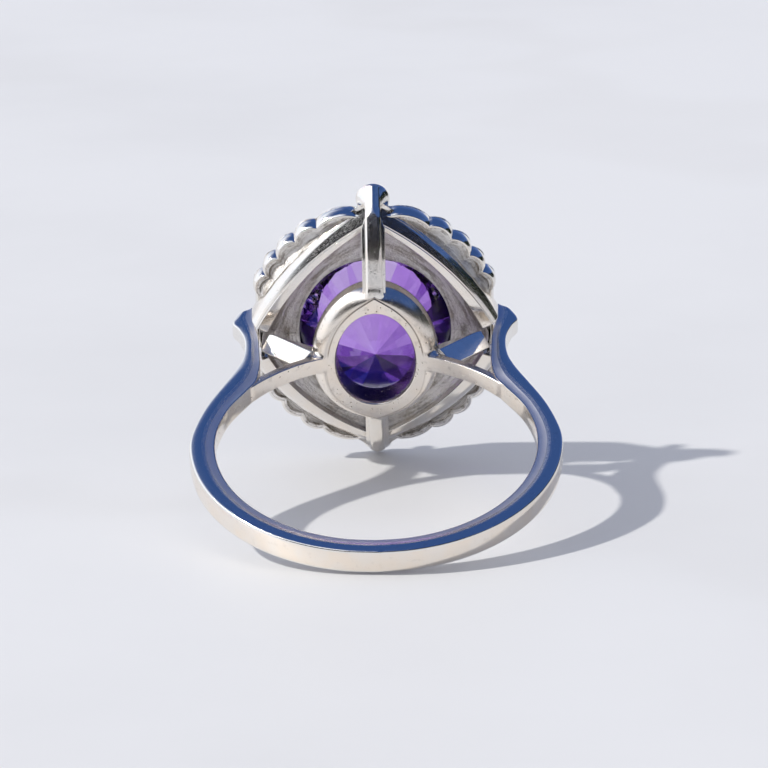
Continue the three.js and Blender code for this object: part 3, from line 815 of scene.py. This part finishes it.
def amethyst_finish(colours):
    """Purple quartz: each facet carries a painted shade, from a painted highlight paler than the tint
    to near black, with faint colour zones and polish marks. The most shaded facets are a little frosted."""
    material, tree, shader = start("violet_quartz")
    at = in_mm(tree)
    # The "depth" mark is painted shade per facet, not a depth of body colour; the noise zones added to it are
    # the stone's own colour zoning.
    depth = attribute(tree, "depth")
    zone = noise(tree, at, 0.5, 3.0) - 0.5
    depth = (depth + zone * 0.25).clamp()
    pale = tuple(colours.amethyst)

    # deeper() gives darker copies of the tint for the painted shade; the first stop below is a painted highlight
    # paler than the tint.
    def deeper(*shares):
        return tuple(k * share for k, share in zip(pale, shares))

    colour = node(tree, "ShaderNodeValToRGB", {"stops": [
        (0.0, tuple(lerp(k, 1.0, 0.45) for k in pale)), (0.35, deeper(0.80, 0.66, 0.95)),
        (0.62, deeper(0.16, 0.06, 0.34)), (0.9, deeper(0.003, 0.0006, 0.012)),
    ]}, {0: depth})
    marks = noise(tree, at, 22.0, 2.0)
    rough = 0.004 + marks * 0.01 + depth.between(0.6, 0.9) * 0.22
    join(shader, Base_Color=colour, Roughness=rough, Transmission_Weight=1.0, IOR=1.55)
    return material


def diamond_finish(colours):
    """Clear small stones with a trace of dust."""
    material, tree, shader = start("clear_diamond")
    dust = noise(tree, in_mm(tree), 7.0, 3.0).between(0.5, 0.8)
    colour = mix(tree, dust * 0.3, tuple(colours.diamond), (0.80, 0.84, 0.90))
    join(shader, Base_Color=colour, Roughness=0.01 + dust * 0.05, Transmission_Weight=0.92, IOR=2.3)
    return material


def floor_finish(colours):
    """Pale stone: soft clouds and a few faint veins."""
    material, tree, shader = start("pale_stone")
    at = in_mm(tree)
    cloud = noise(tree, at, 0.018, 5.0, 0.55)
    warp = noise(tree, at, 0.006, 4.0, 0.6)
    vein = 1 - (warp - 0.5).math("ABSOLUTE").between(0.0, 0.035)
    base = tuple(colours.floor)
    colour = mix(tree, cloud.between(0.35, 0.7), base, tuple(0.94 * k for k in base))
    colour = mix(tree, vein * 0.10, colour, (0.62, 0.60, 0.57))
    join(shader, Base_Color=colour, Roughness=0.42 + cloud * 0.1, Specular_IOR_Level=0.35)
    return material


def finish(name):
    """A named finish, made on first use."""
    found = bpy.data.materials.get(name)
    if found:
        return found
    colours = bpy.context.scene.ring_colours
    makers = {
        "polished": lambda: gold_finish("polished", colours),
        "banded": lambda: gold_finish("banded", colours, wear=0.3, pits=1.0, banded=True),
        "rubbed": lambda: gold_finish("rubbed", colours, wear=0.9, dull=0.15, pits=1.0),
        "scratched": lambda: gold_finish("scratched", colours, wear=0.2, dull=0.04, pits=0.25),
        "sandy_gold": lambda: cast_finish("sandy_gold", colours, False),
        "streaked_gold": lambda: cast_finish("streaked_gold", colours, True),
        "violet_quartz": lambda: amethyst_finish(colours),
        "clear_diamond": lambda: diamond_finish(colours),
        "pale_stone": lambda: floor_finish(colours),
    }
    return makers[name]()


# ---- operators ----
class BuildStage(bpy.types.Operator):
    """Sets up the camera, the soft key light, the surroundings and the floor"""

    bl_idname = "ring.build_stage"
    bl_label = "Stage"

    def execute(self, context):
        stage = context.scene.ring_stage
        tilt, yaw, roll = CAMERA_TILT, CAMERA_YAW, CAMERA_ROLL
        u, a, d = Vector((-1, 0, 0)), Vector((0, LAY_C, LAY_S)), Vector((0, -LAY_S, LAY_C))
        across = math.cos(yaw) * u + math.sin(yaw) * d
        away = math.cos(yaw) * d - math.sin(yaw) * u
        look = math.cos(tilt) * away - math.sin(tilt) * a
        rise = math.sin(tilt) * away + math.cos(tilt) * a
        right = math.cos(roll) * across - math.sin(roll) * rise
        up = math.sin(roll) * across + math.cos(roll) * rise
        middle = Vector((0, FINGER_Y, FINGER_Z)) / 1000
        eye = middle - look * stage.distance - (right * CAMERA_SHIFT[0] + up * CAMERA_SHIFT[1]) / 1000
        data = bpy.data.cameras.new("camera")
        data.lens, data.sensor_width, data.clip_start = stage.lens, SENSOR, 0.005
        camera = bpy.data.objects.new("camera", data)
        camera.matrix_world = Matrix((
            (right.x, up.x, -look.x, eye.x), (right.y, up.y, -look.y, eye.y),
            (right.z, up.z, -look.z, eye.z), (0, 0, 0, 1)))
        context.scene.collection.objects.link(camera)
        context.scene.camera = camera
        context.scene.view_settings.view_transform = "Standard"

        key = bpy.data.lights.new("key", "SUN")
        key.energy, key.angle, key.color = stage.key, KEY_SPREAD, KEY_COLOUR
        lamp = bpy.data.objects.new("key", key)
        lamp.rotation_euler = Vector(KEY_TOWARD).to_track_quat("Z", "Y").to_euler()
        context.scene.collection.objects.link(lamp)
        self.surroundings(context, stage)

        count = 64
        turn = np.linspace(0, 2 * math.pi, count, endpoint=False)
        rim = np.stack([FLOOR_REACH * np.cos(turn), FLOOR_REACH * np.sin(turn), np.zeros(count)], -1)
        mesh = bpy.data.meshes.new("floor")
        mesh.from_pydata(rim, [], [list(range(count))])
        mesh.materials.append(finish("pale_stone"))
        floor = bpy.data.objects.new("floor", mesh)
        context.scene.collection.objects.link(floor)
        return {"FINISHED"}

    def surroundings(self, context, stage):
        """Even pale light on what is matt. Metal and stones mirror a deep sky instead, which is
        pale on the key light's side and along the horizon beyond, with a ragged dark hedge low on
        the other side and a dark card in front."""
        world = bpy.data.worlds.new("surroundings")
        context.scene.world = world
        world.use_nodes = True
        tree = world.node_tree
        direction = node(tree, "ShaderNodeTexCoord", {}, {}, out=0)
        x, y, z = parts(direction)
        ragged = noise(tree, direction, 6.0, 5.0, 0.65)
        sky = mix(tree, z.between(0.10, 0.75), (0.12, 0.22, 0.55), (0.040, 0.090, 0.27))
        cloud = noise(tree, direction, 1.6, 4.0, 0.55)
        low = 1 - z.between(0.45, 0.9)
        overhead = 1 - z.between(0.86, 0.98)
        bright = x.between(0.10, 0.62) * low + x.between(-0.02, 0.30) * y.between(0.25, 0.5) * overhead
        bright = bright + cloud.between(0.56, 0.68) * 0.35 * x.between(-0.4, 0.3)
        bright = bright * (1 - ragged.between(0.52, 0.66) * 0.35)
        sky = mix(tree, bright.clamp(), sky, (1.12, 1.18, 1.30))
        beyond = (1 - y.between(-0.9, -0.35)) * (1 - z.between(0.10, 0.34))
        sky = mix(tree, beyond, sky, (0.95, 0.95, 0.97))
        top = 0.10 + (y * 0.5 - x * 0.87).between(-0.3, 0.5) * 0.24
        top = top + (ragged - 0.5) * 0.20 + (1 - x.between(-0.97, -0.82)) * 0.22
        hedge = (top - z).between(0.0, 0.02) * (y * 0.6 - x * 0.8).between(-0.05, 0.2)
        leaf = mix(tree, ragged.between(0.5, 0.62), (0.003, 0.005, 0.003), (0.035, 0.045, 0.016))
        sky = mix(tree, hedge, sky, leaf)
        card = y.between(0.50, 0.68) * (1 - z.between(0.42, 0.58))
        sky = mix(tree, card, sky, (0.012, 0.011, 0.012))
        matt = node(tree, "ShaderNodeLightPath", {}, {}, out=2)
        sky = mix(tree, matt, sky, EVEN_LIGHT)
        background = tree.nodes["Background"]
        tree.links.new(sky.socket, background.inputs[0])
        background.inputs[1].default_value = stage.sky


class BuildBand(bpy.types.Operator):
    """Builds the shank and the two shoulders as one continuous line of metal"""

    bl_idname = "ring.build_band"
    bl_label = "Shank and shoulders"

    def execute(self, context):
        s = sizes()
        gold = finish("banded")
        band_piece("shank", np.linspace(-JOINT, JOINT, 420), s, gold, False)
        band_piece("shoulder_right", np.linspace(JOINT, 1, 150), s, gold, True)
        band_piece("shoulder_left", np.linspace(-JOINT, -1, 150), s, gold, True)
        return {"FINISHED"}


class BuildArches(bpy.types.Operator):
    """Builds the two inner arches that follow the finger"""

    bl_idname = "ring.build_arches"
    bl_label = "Inner arches"

    def execute(self, context):
        loops = arch_loops(sizes())
        for name, sign in (("arch_right", 1), ("arch_left", -1)):
            make(name, mirrored(loops, sign, 1), finish("rubbed"), replaces=(name,))
        return {"FINISHED"}


class BuildBase(bpy.types.Operator):
    """Builds the oval gallery base with its grooved face"""

    bl_idname = "ring.build_base"
    bl_label = "Gallery base"

    def execute(self, context):
        loops, dark = base_loops(sizes())
        make("gallery_base", loops, finish("rubbed"), wrap=True, replaces=("gallery_base",),
             sharp=50, marks={"groove": dark})
        return {"FINISHED"}


class BuildBraces(bpy.types.Operator):
    """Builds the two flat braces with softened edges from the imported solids"""

    bl_idname = "ring.build_braces"
    bl_label = "Braces"

    def execute(self, context):
        for name in ("brace_right", "brace_left"):
            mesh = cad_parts[name].data.copy()
            mesh.materials.clear()
            weld(mesh)
            obj = finish_piece("polished_" + name, mesh, finish("polished"), (name,), sharp=20)
            bevel = obj.modifiers.new("edges", "BEVEL")
            bevel.width, bevel.segments, bevel.limit_method = 0.00005, 3, "ANGLE"
            bevel.angle_limit, bevel.harden_normals = math.radians(25), True
        return {"FINISHED"}


def outward(mesh):
    """Turns every face of a closed mesh outwards."""
    built = bmesh.new()
    built.from_mesh(mesh)
    bmesh.ops.recalc_face_normals(built, faces=built.faces)
    built.to_mesh(mesh)
    built.free()


def weld(mesh):
    """Joins a mesh's doubled vertices, so that its edges can be softened."""
    built = bmesh.new()
    built.from_mesh(mesh)
    bmesh.ops.remove_doubles(built, verts=built.verts, dist=1e-7)
    bmesh.ops.dissolve_limit(built, angle_limit=math.radians(1), verts=built.verts, edges=built.edges)
    built.to_mesh(mesh)
    built.free()


class BuildRibs(bpy.types.Operator):
    """Builds the two ribs that climb from the gallery base to the head's tips"""

    bl_idname = "ring.build_ribs"
    bl_label = "Ribs"

    def execute(self, context):
        loops = domed(rib_loops(sizes()), 0.08)
        for name, sign in (("rib_north", 1), ("rib_south", -1)):
            make(name, mirrored(loops, 1, sign), finish("scratched"), replaces=(name,))
        return {"FINISHED"}


class BuildRails(bpy.types.Operator):
    """Builds the four bowed rails of the lozenge"""

    bl_idname = "ring.build_rails"
    bl_label = "Rails"

    def execute(self, context):
        loops = domed(rail_loops(sizes()), 0.08)
        for corner, sign_x, sign_y in QUARTERS:
            name = "rail_" + corner
            make(name, mirrored(loops, sign_x, sign_y), finish("scratched"), replaces=(name,))
        return {"FINISHED"}


class BuildCollet(bpy.types.Operator):
    """Builds the oval bearing round the centre stone"""

    bl_idname = "ring.build_collet"
    bl_label = "Collet"

    def execute(self, context):
        profile = softened([
            (0.94, 12.0), (0.935, 11.12), (1.05, 11.12), (1.055, 12.40), (1.02, 12.42), (0.94, 12.0),
        ], 0.03)
        loops = turned(profile, stretch=STONE, segments=160)
        make("centre_collet", loops, finish("polished"), wrap=True, replaces=("centre_collet",))
        return {"FINISHED"}


class BuildHalo(bpy.types.Operator):
    """Builds the polished scalloped wall and the cast recesses behind the diamonds"""

    bl_idname = "ring.build_halo"
    bl_label = "Halo"

    def execute(self, context):
        s = sizes()
        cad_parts["halo"].data.materials.clear()
        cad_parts["halo"].data.materials.append(finish("sandy_gold"))
        make("halo_scallops", halo_wall_loops(s), finish("polished"), wrap=True, sharp=40)
        for corner, sign_x, sign_y in QUARTERS:
            for name, grid in (("recess_", trough(s)), ("plate_", spandrel(s))):
                make(name + corner, mirrored(grid, sign_x, sign_y), finish("streaked_gold"),
                     sharp=50, marks=flow_marks(grid))
        return {"FINISHED"}


class BuildCups(bpy.types.Operator):
    """Builds the two round cups at the head's tips"""

    bl_idname = "ring.build_cups"
    bl_label = "Tip cups"

    def execute(self, context):
        profile = softened([
            (0.0, 11.16), (0.34, 11.18), (0.86, 11.86), (0.925, 12.05), (0.925, 12.22), (0.86, 12.3),
            (0.78, 12.3), (0.70, 12.15), (0.3, 11.85), (0.0, 11.8),
        ], 0.09)
        for name, sign in (("tip_cup_north", 1), ("tip_cup_south", -1)):
            make(name, turned(profile, (0, sign * CUP_Y)), finish("polished"), replaces=(name,))
        return {"FINISHED"}


class BuildClaws(bpy.types.Operator):
    """Builds the four round-headed claws over the centre stone"""

    bl_idname = "ring.build_claws"
    bl_label = "Claws"

    def execute(self, context):
        radius = sizes()["claw_radius"]
        bow = np.linspace(0, math.pi / 2, 12)
        head = np.stack([radius * np.cos(bow), 13.04 + radius * np.sin(bow)], 1)
        profile = np.concatenate([[(0.0, 11.9), (radius * 0.9, 11.9), (radius, 12.4)], head])
        spot = on_oval(STONE + 0.18, np.array([43.0]))[0]
        for corner, sign_x, sign_y in QUARTERS:
            name = "claw_" + corner
            loops = turned(profile, (sign_x * spot[0], sign_y * spot[1]), segments=40)
            make(name, loops, finish("polished"), replaces=(name,))
        return {"FINISHED"}


class BuildStones(bpy.types.Operator):
    """Gives the amethyst and the diamonds their finishes and sets the grains between the diamonds"""

    bl_idname = "ring.build_stones"
    bl_label = "Stones"

    def execute(self, context):
        for name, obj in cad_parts.items():
            if name.startswith("diamond_"):
                obj.data.materials.clear()
                obj.data.materials.append(finish("clear_diamond"))
        corners, faces, depth = cut_stone()
        mesh = bpy.data.meshes.new("centre_stone")
        mesh.from_pydata(place(corners), [], faces)
        # The "depth" mark holds each face's painted shade.
        mesh.attributes.new("depth", "FLOAT", "FACE").data.foreach_set("value", depth.astype(np.float32))
        outward(mesh)
        finish_piece("centre_stone", mesh, finish("violet_quartz"), ("amethyst",), flat=True)
        radius = sizes()["grain_radius"]
        bow = np.linspace(-math.pi / 2, math.pi / 2, 9)
        profile = np.stack([radius * np.cos(bow), HALO_FRONT + 0.04 + radius * np.sin(bow)], 1)
        for k, degrees in enumerate(SCALLOPS):
            for row, inset in (("outer", 0.30), ("inner", 1.12)):
                spot = on_oval(HALO_HALF - inset, np.array([degrees]))[0]
                for corner, sign_x, sign_y in QUARTERS:
                    loops = turned(profile, (sign_x * spot[0], sign_y * spot[1]), segments=16)
                    make(f"grain_{row}_{corner}_{k + 1}", loops, finish("polished"))
        return {"FINISHED"}


STEPS = [
    BuildStage, BuildBand, BuildArches, BuildBase, BuildBraces, BuildRibs, BuildRails, BuildCollet,
    BuildHalo, BuildCups, BuildClaws, BuildStones,
]


class RingPanel(bpy.types.Panel):
    """Lists the steps and the values behind them"""

    bl_idname = "VIEW3D_PT_ring"
    bl_label = "Cocktail ring"
    bl_space_type = "VIEW_3D"
    bl_region_type = "UI"
    bl_category = "Ring"

    def draw(self, context):
        for step in STEPS:
            self.layout.operator(step.bl_idname)
        for group in (context.scene.ring_sizes, context.scene.ring_colours, context.scene.ring_stage):
            for key in own_values(group):
                self.layout.prop(group, key)


GROUPS = {"ring_sizes": RingSizes, "ring_colours": RingColours, "ring_stage": RingStage}
CLASSES = [*GROUPS.values(), *STEPS, RingPanel]


def register():
    for item in CLASSES:
        bpy.utils.register_class(item)
    for key, group in GROUPS.items():
        setattr(bpy.types.Scene, key, PointerProperty(type=group))


def unregister():
    for key in GROUPS:
        delattr(bpy.types.Scene, key)
    for item in reversed(CLASSES):
        bpy.utils.unregister_class(item)


def main():
    """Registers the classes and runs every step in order."""
    register()
    for step in STEPS:
        family, name = step.bl_idname.split(".")
        getattr(getattr(bpy.ops, family), name)()


if __name__ == "__main__":
    main()
